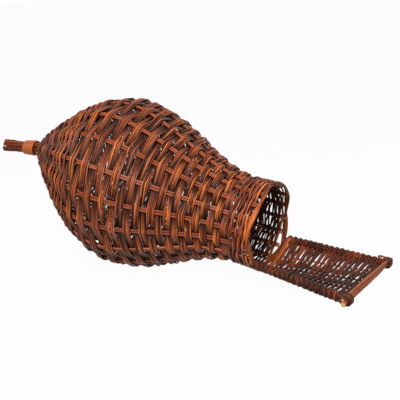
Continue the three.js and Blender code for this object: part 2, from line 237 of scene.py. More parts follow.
class Body:
    """The stake surface: radius and centre line along the axis, and lengths along the outline."""

    SAMPLES = 1200

    def __init__(self, body):
        stations = [
            (0, body.tail_radius),
            (body.shoulder_at, body.shoulder_radius),
            (body.belly_at, body.belly_radius),
            (body.waist_at, body.waist_radius),
            (body.neck_at, body.neck_radius),
            (body.length, body.mouth_radius),
        ]
        self.settings = body
        self.x = np.linspace(0, body.length, self.SAMPLES)
        self.radius = natural_spline(*zip(*stations))(self.x)
        steps = np.hypot(np.diff(self.x), np.diff(self.radius))
        self.arc = np.concatenate([[0], np.cumsum(steps)])
        self.slope = np.gradient(self.radius, self.x)

    @property
    def end(self):
        """Length along the outline from the tail root to the border."""
        return self.arc[-1] - self.settings.border_width

    def radius_at(self, arc):
        return np.interp(arc, self.arc, self.radius)

    def point(self, arc, turn, out=0.0, aside=0.0):
        """Points on or off the surface, in basket coordinates. All four may be arrays."""
        x = np.interp(arc, self.arc, self.x)
        radius = np.interp(arc, self.arc, self.radius)
        slope = np.interp(arc, self.arc, self.slope)
        steep = np.hypot(1, slope)
        rise = self.rise(x)
        radius = radius + out / steep
        x = x - out * slope / steep
        y = radius * np.cos(turn) - aside * np.sin(turn)
        z = rise + radius * np.sin(turn) + aside * np.cos(turn)
        return np.stack(np.broadcast_arrays(x, y, z), axis=-1)

    def rise(self, x):
        body = self.settings
        return body.tail_rise * np.clip((body.length - x) / body.length, 0, 1) ** body.rise_power


class Placing:
    """Turns basket coordinates into the frame's, from where the border and the end bar lie."""

    def __init__(self, body, platform):
        border, bar = (self.middle(node) for node in ("mouth_border", "platform_end_bar"))
        own_border = Vector((body.length - body.border_width / 2, 0, 0))
        own_bar = Vector((body.length + platform.length, 0, -platform.end_drop))
        own, found = own_bar - own_border, bar - border
        pitch = math.atan2(own.z, own.x) - math.atan2(found.z, found.x)
        self.turn = Matrix.Rotation(pitch, 3, "Y")
        self.shift = border - self.turn @ own_border

    @staticmethod
    def middle(node):
        low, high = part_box(node)
        return (low + high) / 2

    def points(self, points):
        return points @ np.array(self.turn).T + np.array(self.shift)


# ---------------------------------------------------------------- nodes


def feed(links, socket, source):
    """Links another node's socket, or sets a plain value."""
    if isinstance(source, bpy.types.NodeSocket):
        links.new(source, socket)
    else:
        socket.default_value = source


def maths(nodes, links, operation, *sources):
    """The result of a Math node fed with sockets or numbers."""
    made = nodes.new("ShaderNodeMath")
    made.operation = operation
    for socket, source in zip(made.inputs, sources):
        feed(links, socket, source)
    return made.outputs[0]


# ---------------------------------------------------------------- rods


class Rod:
    """One rod: its middle line, radius at each point, tone and a shade factor at each point that darkens its
    colour (painted shade where it varies along the rod).
    """

    END = 0.0004

    def __init__(self, points, radius, tone, shade=1.0, cut=True, outward=None):
        points = np.asarray(points, float)
        radius = np.broadcast_to(radius, len(points)).astype(float)
        shade = np.broadcast_to(shade, len(points)).astype(float)
        self.points = self.with_end_points(points)
        self.radius = np.concatenate([radius[:1], radius, radius[-1:]])
        self.shade = np.concatenate([shade[:1], shade, shade[-1:]])
        self.cut = np.zeros(len(self.points))
        self.cut[[0, -1]] = cut
        self.tone = tone
        outward = np.zeros_like(points) if outward is None else outward
        self.outward = np.concatenate([outward[:1], outward, outward[-1:]])

    def with_end_points(self, points):
        """Adds a point close to each end, so that only the cut face is pale."""
        first, last = points[1] - points[0], points[-2] - points[-1]
        first *= self.END / np.linalg.norm(first)
        last *= self.END / np.linalg.norm(last)
        return np.concatenate([
            points[:1], [points[0] + first], points[1:-1], [points[-1] + last], points[-1:],
        ])


def bent_line(corners, reach):
    """A line through the corners, each one rounded over `reach`, with two more points on a long straight."""
    corners = np.asarray(corners, float)
    steps = np.diff(corners, axis=0)
    spans = np.maximum(np.linalg.norm(steps, axis=1), 1e-9)
    cuts = np.minimum(reach / spans, 0.45)
    points = []
    for i, (corner, step, span, cut) in enumerate(zip(corners, steps, spans, cuts)):
        start = 0 if i == 0 else cut
        end = 1 if i == len(steps) - 1 else 1 - cut
        shares = [start, end]
        if span > 5 * reach:
            shares = [start, start + (end - start) * 0.3, start + (end - start) * 0.7, end]
        points.append(corner + step * np.array(shares)[:, None])
    return np.concatenate(points)


def wander(rng, size, reach, waves=5, low=1, high=9):
    """A smooth random line of a given size that repeats after one turn."""
    at = np.linspace(0, TURN, size)
    total = np.zeros(size)
    for wave in rng.integers(low, high + 1, waves):
        total += np.sin(wave * at + rng.uniform(0, TURN)) * rng.uniform(0.4, 1)
    return total * reach / math.sqrt(waves)


KNOB_CONTRAST = 4


def rod_tree():
    """Geometry Nodes tree that gives guide lines their round bark surface."""
    tree = bpy.data.node_groups.new("Willow Rods", "GeometryNodeTree")
    inputs = {}
    for name, kind, default in (
        ("Guides", "NodeSocketGeometry", None),
        ("Sides", "NodeSocketInt", 8),
        ("Knobbliness", "NodeSocketFloat", 0.06),
        ("Knob Scale", "NodeSocketFloat", 90.0),
        ("Bark", "NodeSocketMaterial", None),
    ):
        socket = tree.interface.new_socket(name, in_out="INPUT", socket_type=kind)
        if default is not None:
            socket.default_value = default
        inputs[name] = socket.identifier
    tree.interface.new_socket("Rods", in_out="OUTPUT", socket_type="NodeSocketGeometry")

    def node(kind, **values):
        made = tree.nodes.new(kind)
        for key, value in values.items():
            setattr(made, key, value)
        return made

    def link(source, target):
        tree.links.new(source, target)

    entry = node("NodeGroupInput")
    lines = node("GeometryNodeMeshToCurve")
    link(entry.outputs["Guides"], lines.inputs["Mesh"])

    spline = node("GeometryNodeSplineParameter")
    along = node("GeometryNodeStoreNamedAttribute", data_type="FLOAT", domain="POINT")
    along.inputs["Name"].default_value = "along"
    link(lines.outputs["Curve"], along.inputs["Geometry"])
    link(spline.outputs["Length"], along.inputs["Value"])

    circle = node("GeometryNodeCurvePrimitiveCircle")
    circle.inputs["Radius"].default_value = 1
    link(entry.outputs["Sides"], circle.inputs["Resolution"])
    position = node("GeometryNodeInputPosition")
    around = node("GeometryNodeStoreNamedAttribute", data_type="FLOAT_VECTOR", domain="POINT")
    around.inputs["Name"].default_value = "around"
    link(circle.outputs["Curve"], around.inputs["Geometry"])
    link(position.outputs["Position"], around.inputs["Value"])

    radius = node("GeometryNodeInputNamedAttribute", data_type="FLOAT")
    radius.inputs["Name"].default_value = "rod_radius"
    knobs = node("ShaderNodeTexNoise", noise_dimensions="3D")
    knobs.inputs["Detail"].default_value = 2
    link(entry.outputs["Knob Scale"], knobs.inputs["Scale"])
    centred = maths(tree.nodes, tree.links, "SUBTRACT", knobs.outputs["Fac"], 0.5)
    doubled = maths(tree.nodes, tree.links, "MULTIPLY", centred, KNOB_CONTRAST)
    swell = maths(tree.nodes, tree.links, "MULTIPLY_ADD", doubled, entry.outputs["Knobbliness"], 1)
    scale = maths(tree.nodes, tree.links, "MULTIPLY", radius.outputs["Attribute"], swell)

    surface = node("GeometryNodeCurveToMesh")
    surface.inputs["Fill Caps"].default_value = True
    link(along.outputs["Geometry"], surface.inputs["Curve"])
    link(around.outputs["Geometry"], surface.inputs["Profile Curve"])
    link(scale, surface.inputs["Scale"])

    smooth = node("GeometryNodeSetShadeSmooth")
    link(surface.outputs["Mesh"], smooth.inputs["Geometry"])
    realize = node("GeometryNodeRealizeInstances")
    link(smooth.outputs["Geometry"], realize.inputs["Geometry"])
    bark = node("GeometryNodeSetMaterial")
    link(realize.outputs["Geometry"], bark.inputs["Geometry"])
    link(entry.outputs["Bark"], bark.inputs["Material"])
    leave = node("NodeGroupOutput")
    link(bark.outputs["Geometry"], leave.inputs["Rods"])
    return tree, inputs


def guide_mesh(name, rods, placing):
    """All the rods' middle lines as one mesh of edges with their radius, tone and shade."""
    points = placing.points(np.concatenate([rod.points for rod in rods]))
    sizes = [len(rod.points) for rod in rods]
    starts = np.cumsum([0] + sizes[:-1])
    edges = [(start + i, start + i + 1) for start, size in zip(starts, sizes) for i in range(size - 1)]
    mesh = bpy.data.meshes.new(name)
    mesh.from_pydata(points.tolist(), edges, [])
    values = {
        "rod_radius": np.concatenate([rod.radius for rod in rods]),
        "tone": np.concatenate([np.full(size, rod.tone) for rod, size in zip(rods, sizes)]),
        "shade": np.concatenate([rod.shade for rod in rods]),
        "cut": np.concatenate([rod.cut for rod in rods]),
    }
    point_values(mesh, values)
    outward = np.concatenate([rod.outward for rod in rods]) @ np.array(placing.turn).T
    point_vectors(mesh, "outward", outward)
    return mesh


def point_values(mesh, values):
    for key, value in values.items():
        mesh.attributes.new(key, "FLOAT", "POINT").data.foreach_set("value", value.astype(np.float32))


def point_vectors(mesh, key, vectors):
    mesh.attributes.new(key, "FLOAT_VECTOR", "POINT").data.foreach_set("vector", np.ravel(vectors))


def finished_piece(name, mesh, replaced):
    """A plain mesh object at the origin that stands for its CAD nodes."""
    piece = bpy.data.objects.new(name, mesh)
    bpy.context.scene.collection.objects.link(piece)
    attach(piece, "root")
    if replaced:
        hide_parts(*replaced)
    return piece


def build_rods(name, rods, finish, replaced=(), sides=8, knobbliness=0.06):
    """Runs the rod tree on the guide lines and keeps the result as a plain mesh."""
    scene = bpy.context.scene
    placing = Placing(scene.nest_body, scene.nest_platform)
    guides = bpy.data.objects.new(name + "_guides", guide_mesh(name + "_guides", rods, placing))
    scene.collection.objects.link(guides)
    group = bpy.data.node_groups.get("Willow Rods")
    tree, inputs = (group, rod_inputs(group)) if group else rod_tree()
    modifier = guides.modifiers.new("Rods", "NODES")
    modifier.node_group = tree
    modifier[inputs["Sides"]] = sides
    modifier[inputs["Knobbliness"]] = knobbliness
    modifier[inputs["Bark"]] = finish
    bpy.context.view_layer.update()
    depsgraph = bpy.context.evaluated_depsgraph_get()
    mesh = bpy.data.meshes.new_from_object(guides.evaluated_get(depsgraph), depsgraph=depsgraph)
    mesh.name = name
    bpy.data.objects.remove(guides)
    if not mesh.polygons:
        raise RuntimeError(name + " came out empty")
    return finished_piece(name, mesh, replaced)


def rod_inputs(tree):
    return {
        item.name: item.identifier
        for item in tree.interface.items_tree
        if item.item_type == "SOCKET" and item.in_out == "INPUT"
    }


# ---------------------------------------------------------------- finishes


TONE_SEED = 97
GRAIN_STRETCH = 28
GRAIN_STRENGTH = 0.45
GRAIN_DEPTH = 0.0006
BLOTCH = 0.5
BARK_GLOSS = 0.2
BARK_GLOSS_TINT = (1, 0.93, 0.88, 1)
STREAK_STOPS = ((0.3, (0.36, 0.33, 0.32)), (0.62, (1, 1, 1)))
# Painted shade on a rod's flanks: dark where its surface faces across the weave, full colour where it faces
# outward or inward.
FLANK_SHADE_STOPS = ((0.2, (0.10, 0.06, 0.04)), (0.55, (0.52, 0.45, 0.40)), (0.9, (1, 1, 1)))
FINISH_NAMES = (
    "weave_bark", "stake_bark", "border_bark", "tail_bark", "deck_bark", "bar_bark", "binding_bark",
)


def shader_nodes(name):
    material = bpy.data.materials.new(name)
    material.use_nodes = True
    nodes = material.node_tree.nodes
    return material, nodes, material.node_tree.links, nodes["Principled BSDF"]


def attribute(nodes, name):
    made = nodes.new("ShaderNodeAttribute")
    made.attribute_name = name
    return made


def ramp(nodes, stops):
    made = nodes.new("ShaderNodeValToRGB")
    elements = made.color_ramp.elements
    while len(elements) < len(stops):
        elements.new(0.5)
    for element, (place, shade) in zip(elements, stops):
        element.position = place
        element.color = (*shade, 1)
    return made


def grain_vector(nodes, links):
    """Coordinates that run round and along each rod, so that streaks follow the bark."""
    around, along = attribute(nodes, "around"), attribute(nodes, "along")
    tone = attribute(nodes, "tone")
    seed = maths(nodes, links, "MULTIPLY", tone.outputs["Fac"], TONE_SEED)
    spread = maths(nodes, links, "MULTIPLY_ADD", along.outputs["Fac"], GRAIN_STRETCH, seed)
    split, joined = nodes.new("ShaderNodeSeparateXYZ"), nodes.new("ShaderNodeCombineXYZ")
    links.new(around.outputs["Vector"], split.inputs[0])
    links.new(split.outputs["X"], joined.inputs["X"])
    links.new(split.outputs["Y"], joined.inputs["Y"])
    links.new(spread, joined.inputs["Z"])
    return joined.outputs[0], tone.outputs["Fac"]


def noise(nodes, links, vector, scale, detail, roughness=0.5):
    made = nodes.new("ShaderNodeTexNoise")
    made.inputs["Scale"].default_value = scale
    made.inputs["Detail"].default_value = detail
    made.inputs["Roughness"].default_value = roughness
    links.new(vector, made.inputs["Vector"])
    return made.outputs["Fac"]


def mixed(nodes, links, kind, factor, first, second):
    made = nodes.new("ShaderNodeMix")
    made.data_type = "RGBA"
    made.blend_type = kind
    for socket, source in ((made.inputs[0], factor), (made.inputs[6], first), (made.inputs[7], second)):
        feed(links, socket, source)
    return made.outputs[2]


def painted_flank_shade(nodes, links, under):
    """Darkens a rod's flanks with painted shade, where it lies against the next rod of the weave."""
    facing = nodes.new("ShaderNodeVectorMath")
    facing.operation = "DOT_PRODUCT"
    links.new(nodes.new("ShaderNodeNewGeometry").outputs["Normal"], facing.inputs[0])
    links.new(attribute(nodes, "outward").outputs["Vector"], facing.inputs[1])
    either_side = maths(nodes, links, "ABSOLUTE", facing.outputs["Value"])
    flank = ramp(nodes, FLANK_SHADE_STOPS)
    links.new(either_side, flank.inputs["Fac"])
    return mixed(nodes, links, "MULTIPLY", 1.0, under, flank.outputs["Color"])


def willow(name, stops, roughness=0.36, inside_shade=0.10, streak=0.65, packed=False):
    """Stained bark: a tone for each rod, streaks along it, and painted shade where it dips inside the weave.
    """
    material, nodes, links, shader = shader_nodes(name)
    vector, tone = grain_vector(nodes, links)
    base = ramp(nodes, stops)
    blotch = noise(nodes, links, vector, 0.55, 3)
    lowered = maths(nodes, links, "SUBTRACT", tone, BLOTCH / 2)
    links.new(maths(nodes, links, "MULTIPLY_ADD", blotch, BLOTCH, lowered), base.inputs["Fac"])

    streaks = ramp(nodes, STREAK_STOPS)
    links.new(noise(nodes, links, vector, 2.2, 5, 0.65), streaks.inputs["Fac"])
    streaked = mixed(nodes, links, "MULTIPLY", streak, base.outputs["Color"], streaks.outputs["Color"])

    # Painted shade: the shade attribute darkens the colour down to the inside-shade colour where it falls to
    # 0.
    shade = attribute(nodes, "shade")
    inside_shade_ramp = ramp(nodes, [(0.0, (inside_shade, inside_shade * 0.75, inside_shade * 0.55)), (1.0, (1, 1, 1))])
    links.new(shade.outputs["Fac"], inside_shade_ramp.inputs["Fac"])
    shaded = mixed(nodes, links, "MULTIPLY", 1.0, streaked, inside_shade_ramp.outputs["Color"])
    # Painted shade on the flanks of the packed weave rods.
    if packed:
        shaded = painted_flank_shade(nodes, links, shaded)
    pale = (*bpy.context.scene.nest_finish.cut, 1)
    ended = mixed(nodes, links, "MIX", attribute(nodes, "cut").outputs["Fac"], shaded, pale)
    links.new(ended, shader.inputs["Base Color"])
    shader.inputs["Specular IOR Level"].default_value = BARK_GLOSS
    shader.inputs["Specular Tint"].default_value = BARK_GLOSS_TINT

    gloss = ramp(nodes, [(0.3, (roughness + 0.16,) * 3), (0.75, (roughness - 0.08,) * 3)])
    links.new(noise(nodes, links, vector, 1.4, 3), gloss.inputs["Fac"])
    links.new(gloss.outputs["Color"], shader.inputs["Roughness"])

    bump = nodes.new("ShaderNodeBump")
    bump.inputs["Strength"].default_value = GRAIN_STRENGTH
    bump.inputs["Distance"].default_value = GRAIN_DEPTH
    links.new(noise(nodes, links, vector, 3.4, 6, 0.6), bump.inputs["Height"])
    links.new(bump.outputs["Normal"], shader.inputs["Normal"])
    return material


def finishes():
    """Every willow finish of the basket, made once."""
    if not bpy.data.materials.get(FINISH_NAMES[0]):
        make_finishes(bpy.context.scene.nest_finish)
    return {name: bpy.data.materials[name] for name in FINISH_NAMES}


def make_finishes(chosen):
    """One willow finish for each kind of rod, with tones from the chosen colours."""
    dark, brown, red, rose, russet, orange, tan, strip = (
        tuple(getattr(chosen, name))
        for name in ("dark", "brown", "red", "rose", "russet", "orange", "tan", "binding")
    )
    rods = [(0.0, dark), (0.28, brown), (0.42, red), (0.54, rose), (0.64, red), (0.84, russet), (1.0, orange)]
    willow("weave_bark", rods, packed=True)
    willow("stake_bark", [(0.0, brown), (0.4, red), (0.75, rose), (1.0, russet)], roughness=0.4)
    willow("border_bark", [(0.0, brown), (0.3, red), (0.5, russet), (1.0, orange)], roughness=0.4)
    willow("tail_bark", [(0.0, dark), (0.6, brown), (1.0, red)], roughness=0.46)
    willow("deck_bark", [(0.0, dark), (0.7, brown), (1.0, red)], roughness=0.5)
    willow("bar_bark", [(0.0, brown), (0.5, red), (1.0, tan)], roughness=0.42, inside_shade=0.5, streak=0.6)
    willow("binding_bark", [(0.0, red), (0.5, strip), (1.0, strip)], inside_shade=0.6, streak=0.45)


# ---------------------------------------------------------------- body pieces


def stake_turn(stakes, i):
    return stakes.phase + i * TURN / stakes.pairs


STAKE_FROM = 0.002
STAKE_IN_BORDER = 0.006
STAKE_WANDER = 0.0004


def stake_rods(body, stakes):
    """Two rods for each stake pair, crowded together and thinner at the tail."""
    rng = np.random.default_rng(11)
    arc = np.linspace(STAKE_FROM, body.end + STAKE_IN_BORDER, 90)
    spacing = TURN * body.radius_at(arc) / stakes.pairs
    share = np.clip(spacing * stakes.crowding / (4 * stakes.radius), 0.3, 1)
    rods = []
    for i in range(stakes.pairs):
        for side in (-1, 1):
            radius = stakes.radius * share * rng.uniform(0.9, 1.08)
            aside = side * radius * 1.04 + wander(rng, len(arc), STAKE_WANDER) * share
            out = wander(rng, len(arc), STAKE_WANDER)
            points = body.point(arc, stake_turn(stakes, i), out, aside)
            rods.append(Rod(points, radius, rng.uniform(0, 1), 1))
    return rods


def round_edges(body, weave):
    """Where the slewed rounds meet along the outline, wider towards the tail."""
    k = np.arange(weave.rounds)
    shares = (1 + weave.taper * (0.5 - (k + 0.5) / weave.rounds)) / weave.rounds
    return weave.start + (body.end - weave.start) * np.concatenate([[0], np.cumsum(shares)])


@dataclass
class Course:
    """The way of one rod round the body, with its thickness and tones.

    `arc` is its place along the outline, and `middle` the middle of its round. It goes behind one
    stake in `repeat`, set by `phase`. `sway` is how far its whole round strays at each stake.
    """

    arc: float
    middle: float
    repeat: int
    phase: int
    radius: float
    offset: float
    sway: np.ndarray
    stray: float
    tones: tuple


# Share of the rods whose first stake is passed outside, and how unevenly a rod stands off the stakes.
STARTS_OUTSIDE = 0.22
OFFSET_STRAY = 0.0007
BEND_REACH = 0.0022
# How far the rods of a round close up towards its middle where the weave is open.
CLOSING = 0.6
# Thickness of a rod's two ends against its middle.
BUTT, TIP = 1.12, 0.84
# Step off the surface that finds its outward direction.
LIFT = 0.001


def woven_rod(body, stakes, weave, rng, course):
    """One rod a little more than once round the body, behind some stakes and outside the others.

    It runs straight from stake to stake, as a stiff rod does, and strays sideways at each of them.
    """
    begins_outside = rng.random() < STARTS_OUTSIDE
    first = rng.integers(stakes.pairs)
    while ((first + course.phase) % course.repeat != 0) != begins_outside:
        first += 1
    passed = np.arange(first, first + stakes.pairs + rng.integers(1, 3))
    outside = (passed + course.phase) % course.repeat != 0
    out = np.where(outside, course.offset, -course.offset) + rng.normal(0, OFFSET_STRAY, len(passed))
    turn = stake_turn(stakes, passed)
    crowded = 1 - weave.loose * openness(body, course.arc, turn)
    along = course.middle + (course.arc - course.middle) * (1 - CLOSING * (1 - crowded))
    along = along + course.sway[passed % stakes.pairs] + rng.normal(0, course.stray, len(passed))

    half = 1.5 * stakes.radius / body.radius_at(course.arc)
    corner_arc = np.repeat(along, 2)
    corner_turn = np.repeat(turn, 2) + np.tile([-half, half], len(passed))
    points = bent_line(body.point(corner_arc, corner_turn, np.repeat(out, 2)), BEND_REACH)
    share, marks = np.linspace(0, 1, len(points)), np.linspace(0, 1, len(corner_arc))
    # Painted shade: 1 where the rod passes outside a stake, falling to 0 where it passes inside, behind one.
    painted_shading = np.interp(share, marks, np.repeat(outside, 2))
    away = body.point(corner_arc, corner_turn, LIFT) - body.point(corner_arc, corner_turn)
    away /= LIFT
    outward = np.stack([np.interp(share, marks, away[:, axis]) for axis in range(3)], -1)
    thinned = np.interp(share, marks, np.repeat(crowded, 2))
    radius = course.radius * np.linspace(BUTT, TIP, len(points)) * thinned
    return Rod(points, radius, rng.uniform(*course.tones), painted_shading, outward=outward)


def openness(body, arc, turn):
    """How open the weave is: 0 over the body, up to 1 on the far side of the neck."""
    near_mouth = np.clip((np.interp(arc, body.arc, body.x) - body.settings.waist_at) / 0.09, 0, 1)
    return near_mouth * np.clip(1.5 * np.cos(turn), 0, 1)


WALE_RADIUS = 1.25


def slewed_rods(body, stakes, weave, numbers):
    """The rods of some slewed rounds, each round with as many rods side by side as it has room for."""
    edges = round_edges(body, weave)
    rods = []
    for k in numbers:
        rng = np.random.default_rng(1000 + k)
        pitch = edges[k + 1] - edges[k]
        middle = edges[k] + pitch / 2
        sway = rng.normal(0, weave.sway, stakes.pairs)
        number = max(3, round(pitch / weave.rod_pitch))
        waled = k >= weave.rounds - weave.wale
        split = k < weave.split
        for j in range(number):
            arc = edges[k] + pitch * (j + 0.5) / number
            radius = weave.rod_radius * rng.uniform(0.84, 1.14) * (WALE_RADIUS if waled else 1)
            repeat, phase = 2, k + 1
            if waled:
                repeat, phase = 3, k + j
            elif split:
                phase = 1 + 2 * j // number
            course = Course(
                arc, middle, repeat, phase, radius, weave.offset, sway, weave.stray, tones=(0.1, 1),
            )
            rods.append(woven_rod(body, stakes, weave, rng, course))
    return rods


# The fine rods keep closer to their line than the slewed ones, and lean out less between close stakes.
FINE_SWAY = 0.4
FINE_STRAY = 0.5
FINE_ROOM = 0.22


def fine_rods(body, stakes, weave):
    """Rounds of two thin rods from the tail root up to the first slewed round."""
    edges = np.linspace(weave.fine_start, weave.start, weave.fine_rounds + 1)
    rods = []
    for k in range(weave.fine_rounds):
        rng = np.random.default_rng(2000 + k)
        pitch = edges[k + 1] - edges[k]
        sway = rng.normal(0, weave.sway * FINE_SWAY, stakes.pairs)
        for slot in (0.25, 0.75):
            arc = edges[k] + pitch * slot
            room = body.radius_at(arc) * TURN / stakes.pairs
            offset = min(weave.offset * 0.95, room * FINE_ROOM + 0.0006)
            radius = pitch / 4 * rng.uniform(0.78, 0.98)
            course = Course(
                arc, arc, 2, k + 1, radius, offset, sway, weave.stray * FINE_STRAY, tones=(0.1, 0.8),
            )
            rods.append(woven_rod(body, stakes, weave, rng, course))
    return rods


BORDER_STRANDS = 5
BORDER_ROD_RADIUS = 0.0022
BORDER_TWISTS = 4.0
BORDER_SWING = 0.0044
BORDER_DEPTH = 0.0028
BORDER_LIFT = 0.0010
BORDER_WANDER = 0.0006


def border_rods(body):
    """Rods laid along the rim and twisted slowly round each other."""
    settings = body.settings
    rng = np.random.default_rng(31)
    steps = 200
    share = np.linspace(0, 1, steps)
    rods = []
    for i in range(BORDER_STRANDS):
        begin = rng.uniform(0, TURN)
        turn = begin + share * (TURN + 0.2)
        twist = TURN * (i / BORDER_STRANDS) + BORDER_TWISTS * (turn - begin) + wander(rng, steps, 0.2)
        x = settings.length - settings.border_width / 2 + BORDER_SWING * np.cos(twist)
        radius = settings.mouth_radius + BORDER_LIFT + BORDER_DEPTH * np.sin(twist)
        radius = radius + wander(rng, steps, BORDER_WANDER)
        points = np.stack([x, radius * np.cos(turn), radius * np.sin(turn)], axis=-1)
        # Painted shade: strands darker on the inner side of their twist, and the whole rim darker on its far
        # side.
        shade = (0.7 + 0.3 * np.sin(twist)) * (0.6 - 0.4 * np.cos(turn))
        thickness = BORDER_ROD_RADIUS * rng.uniform(0.86, 1.14)
        rods.append(Rod(points, thickness, 0.4 + 0.6 * i / BORDER_STRANDS, shade))
    return rods


# ---------------------------------------------------------------- tail pieces


def tail_line(body, tail):
    """Start and direction of the bundle, with two directions across it."""
    root = Vector((0, 0, body.settings.tail_rise))
    end = Vector((-tail.length, -tail.sidestep, body.settings.tail_rise - tail.drop))
    along = (end - root).normalized()
    across = along.cross(Vector((0, 0, 1))).normalized()
    return root, along, across, across.cross(along)


MIDDLE_ROD_REACH = 0.0022
TAIL_ROOT = 0.010
# The rods are pinched together just behind the binding.
PINCH = 0.12
PINCH_AT = 0.05
PINCH_REACH = 0.02


def tail_rods(body, tail):
    """The gathered rod ends, cut to uneven lengths and slightly splayed."""
    rng = np.random.default_rng(41)
    root, along, across, up = tail_line(body, tail)
    ring = tail.bundle_radius - tail.rod_radius
    places = [(MIDDLE_ROD_REACH, 1.0), (MIDDLE_ROD_REACH, 4.1)]
    places += [(ring, TURN * (i + 0.3) / tail.rods) for i in range(tail.rods)]
    rods = []
    for reach, turn in places:
        far = tail.length * rng.uniform(0.9, 1.0)
        distance = np.linspace(-TAIL_ROOT, far, 30)
        splay = 1 - PINCH * np.exp(-((distance - PINCH_AT) / PINCH_REACH) ** 2) + wander(rng, 30, 0.05)
        twist = turn + 0.5 * distance / tail.length + wander(rng, 30, 0.06)
        points = [
            root + along * d + (across * math.cos(t) + up * math.sin(t)) * reach * s
            for d, t, s in zip(distance, twist, splay)
        ]
        radius = tail.rod_radius * rng.uniform(0.86, 1.12)
        rods.append(Rod(points, radius, rng.uniform(0, 1), rng.uniform(0.7, 1), cut=False))
    return rods


STRIP_THICKNESS = 0.0022
STRIP_TILT = 0.0003
STRIP_CLEAR = 0.0006
STRIP_WANDER = 0.00015
# Half the strip's width as a share of its advance in a turn. Over a half, the turns overlap.
STRIP_HALF_WIDTH = 0.56


def binding_mesh(name, body, tail, placing):
    """A flat strip of split willow wound tight round the bundle, wider towards the body."""
    root, along, across, up = tail_line(body, tail)
    rng = np.random.default_rng(43)
    per_turn, ring = 40, 10
    steps = per_turn * tail.binding_turns + 1
    pitch = tail.binding_length / (tail.binding_turns + 1)
    turns = np.linspace(0, TURN * tail.binding_turns, steps)
    distance = tail.binding_from + pitch * (turns / TURN + 0.5)
    flare = tail.binding_flare * (1 - (distance - tail.binding_from) / tail.binding_length)
    reach = tail.bundle_radius + STRIP_CLEAR + flare + wander(rng, steps, STRIP_WANDER)
    profile = np.linspace(0, TURN, ring, endpoint=False)
    verts, values = [], {"around": [], "along": []}
    for t, d, r in zip(turns, distance, reach):
        side = across * math.cos(t) + up * math.sin(t)
        for a in profile:
            lift = STRIP_THICKNESS / 2 * math.sin(a) + STRIP_TILT * math.cos(a)
            verts.append(root + along * (d + pitch * STRIP_HALF_WIDTH * math.cos(a)) + side * (r + lift))
            values["around"].append((math.cos(a), math.sin(a), 0))
            values["along"].append(r * t)
    faces = [
        (i * ring + j, i * ring + (j + 1) % ring, (i + 1) * ring + (j + 1) % ring, (i + 1) * ring + j)
        for i in range(steps - 1) for j in range(ring)
    ]
    faces += [tuple(range(ring)), tuple((steps - 1) * ring + j for j in reversed(range(ring)))]
    mesh = bpy.data.meshes.new(name)
    mesh.from_pydata(placing.points(np.array(verts)).tolist(), [], faces)
    point_values(mesh, {
        "along": np.array(values["along"]), "tone": np.full(len(verts), 0.6),
        "shade": np.ones(len(verts)), "cut": np.zeros(len(verts)),
    })
    point_vectors(mesh, "around", values["around"])
    turn_faces_outwards(mesh)
    mesh.polygons.foreach_set("use_smooth", [True] * len(mesh.polygons))
    return mesh


def turn_faces_outwards(mesh):
    shell = bmesh.new()
    shell.from_mesh(mesh)
    bmesh.ops.recalc_face_normals(shell, faces=shell.faces)
    shell.to_mesh(mesh)
    shell.free()


# ---------------------------------------------------------------- platform pieces


class Platform:
    """The straight rods of the landing platform and the surface between them."""

    def __init__(self, body, platform):
        self.settings = platform
        self.start = body.length
        share = np.linspace(-1, 1, platform.rods)
        turn = share * platform.half_angle
        reach = body.mouth_radius + np.where(np.abs(share) == 1, platform.side_outset, 0)
        level = np.ones_like(share)
        self.roots = np.stack([self.start * level, reach * np.sin(turn), -reach * np.cos(turn)], -1)
        self.tips = np.stack([
            (self.start + platform.length) * level,
            share * platform.end_half_width,
            -platform.end_drop * level,
        ], -1)
        self.last = platform.rods - 1

    def rod(self, i, x):
        part = np.asarray((x - self.start) / self.settings.length)[..., None]
        return self.roots[i] + (self.tips[i] - self.roots[i]) * part

    def radius(self, i):
        return self.settings.side_radius if i in (0, self.last) else self.settings.inner_radius

    def beside(self, i, x, turn, aside, clear):
        """A point at `clear` from rod i in direction `turn`, 0 across the platform and 90 up."""
        across = self.rod(min(i + 1, self.last), x) - self.rod(max(i - 1, 0), x)
        across /= np.linalg.norm(across)
        up = np.array([0, -across[2], across[1]])
        return self.rod(i, x) + across * (clear * math.cos(turn) + aside) + up * clear * math.sin(turn)


SIDE_ROOT = 0.004
INNER_ROOT = 0.02
ROD_END_GAP = 0.002


def side_rods(deck):
    """The straight side rods, up to the end bar."""
    platform = deck.settings
    rng = np.random.default_rng(51)
    x = deck.start + np.linspace(-SIDE_ROOT, platform.length - ROD_END_GAP, 40)
    return [Rod(deck.rod(i, x), platform.side_radius, rng.uniform(0.2, 0.8), 0.6) for i in (0, deck.last)]


WRAP_PIECES = 13
WRAP_BULGE_PITCH = 0.0118
WRAP_BULGE = 0.0005
WRAP_FROM = 0.001
WRAP_END_GAP = 0.003


def side_wraps(deck):
    """Rods wound tight round each side rod, one after the other, in a rope-like coil."""
    platform = deck.settings
    rods = []
    for i in (0, deck.last):
        rng = np.random.default_rng(53 + i)
        turns = (platform.length - WRAP_END_GAP - WRAP_FROM) / platform.wrap_pitch
        steps = int(turns * 14)
        turn = np.linspace(0, TURN * turns, steps) * (1 if i == 0 else -1)
        x = deck.start + np.linspace(WRAP_FROM, platform.length - WRAP_END_GAP, steps)
        bulge = np.sin(TURN * x / WRAP_BULGE_PITCH) + wander(rng, steps, 0.5, low=4, high=30)
        clear = platform.side_radius + platform.wrap_radius + WRAP_BULGE * bulge
        radius = platform.wrap_radius * (1 + 0.1 * bulge)
        corners = np.array([deck.beside(i, at, t, 0, c) for at, t, c in zip(x, turn, clear)])
        for first in range(WRAP_PIECES):
            part = slice(first * steps // WRAP_PIECES, (first + 1) * steps // WRAP_PIECES + 2)
            rods.append(Rod(corners[part], radius[part], rng.uniform(0, 1), 0.9, cut=False))
    return rods


# Place and thickness of the two rods of a pair, as shares of the pair's own radius.
PAIR_ASIDE = 0.62
PAIR_RADIUS = 0.66
PAIR_WANDER = 0.0005


